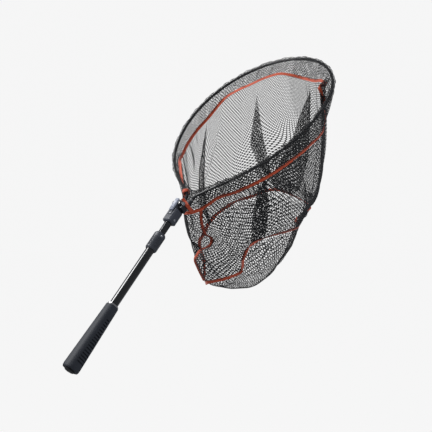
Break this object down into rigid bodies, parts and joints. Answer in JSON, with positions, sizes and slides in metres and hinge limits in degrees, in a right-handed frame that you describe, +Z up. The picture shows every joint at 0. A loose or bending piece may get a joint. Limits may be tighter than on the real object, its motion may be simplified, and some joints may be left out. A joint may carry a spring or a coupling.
{
  "type": "landing net",
  "caption": "Folding landing net with a telescopic handle, a slotted grip, a hinged hoop and a deep mesh bag bound in woven tape.",
  "frame": {"origin": "centre of the butt face, where the handle's axis leaves the grip", "axes": "+Z up against gravity, +X level in the direction the handle points, +Y to the left of the handle; the handle rises at 45.6 degrees in the XZ plane"},
  "size_m": [0.8969, 0.519, 0.842],
  "materials": {
    "rubber_black": "matt moulded rubber",
    "grip_black": "satin moulded soft grip",
    "ring_metal": "polished",
    "tube_black": "gloss black anodised",
    "plastic_black": "satin moulded",
    "plastic_charcoal": "satin moulded",
    "slide_grey": "satin moulded",
    "pad_grey": "satin moulded",
    "bush_nylon": "natural nylon",
    "button_metal": "turned",
    "spring_steel": "plain",
    "hoop_black": "gloss black painted tube",
    "net_black": "woven knotless netting",
    "tape_orange": "ribbed woven tape"
  },
  "bodies": {
    "handle": {"butt_plug": "rubber_black", "grip": "grip_black", "grip_ring": "ring_metal", "outer_tube": "tube_black", "lock_collar": "plastic_black", "locking_bush": "bush_nylon", "button_spring": "spring_steel"},
    "button": {"release_button": "button_metal"},
    "inner": {"inner_tube": "tube_black", "inner_foot": "plastic_black", "yoke": "plastic_charcoal", "yoke_rivet": "button_metal", "hinge_pin": "button_metal", "pin_clip": "spring_steel", "slide_spring": "spring_steel"},
    "slide": {"lock_slide": "slide_grey", "thumb_pad": "pad_grey"},
    "head": {"head_block": "plastic_black", "hinge_fork": "ring_metal", "arm_screws": "spring_steel", "hoop": "hoop_black", "hoop_sleeve": "net_black", "arm_ferrules": "hoop_black", "end_binding": "tape_orange", "rim_band": "net_black", "upper_tape": "tape_orange", "net_wall": "net_black", "lower_tape": "tape_orange", "net_floor": "net_black", "seam_tape": "tape_orange", "throat_strap": "tape_orange"}
  },
  "joints": [
    {"name": "telescope", "type": "slide", "parent": "handle", "child": "inner", "axis": [0.6997, 0, 0.7145], "range_m": [0, 0.3]},
    {"name": "head_fold", "type": "hinge", "parent": "inner", "child": "head", "pos_m": [0.3777, 0, 0.39713], "axis": [0, -1, 0], "range_deg": [0, 160]},
    {"name": "lock_travel", "type": "slide", "parent": "inner", "child": "slide", "axis": [-0.6997, 0, -0.7145], "range_m": [0, 0.008], "stiffness_N_per_m": 250, "springref_m": -0.012, "deforming": ["slide_spring"]},
    {"name": "button_press", "type": "slide", "parent": "handle", "child": "button", "axis": [0.2444, 0.9397, -0.2393], "range_m": [0, 0.0012], "stiffness_N_per_m": 800, "springref_m": -0.002, "deforming": ["button_spring"]}
  ]
}
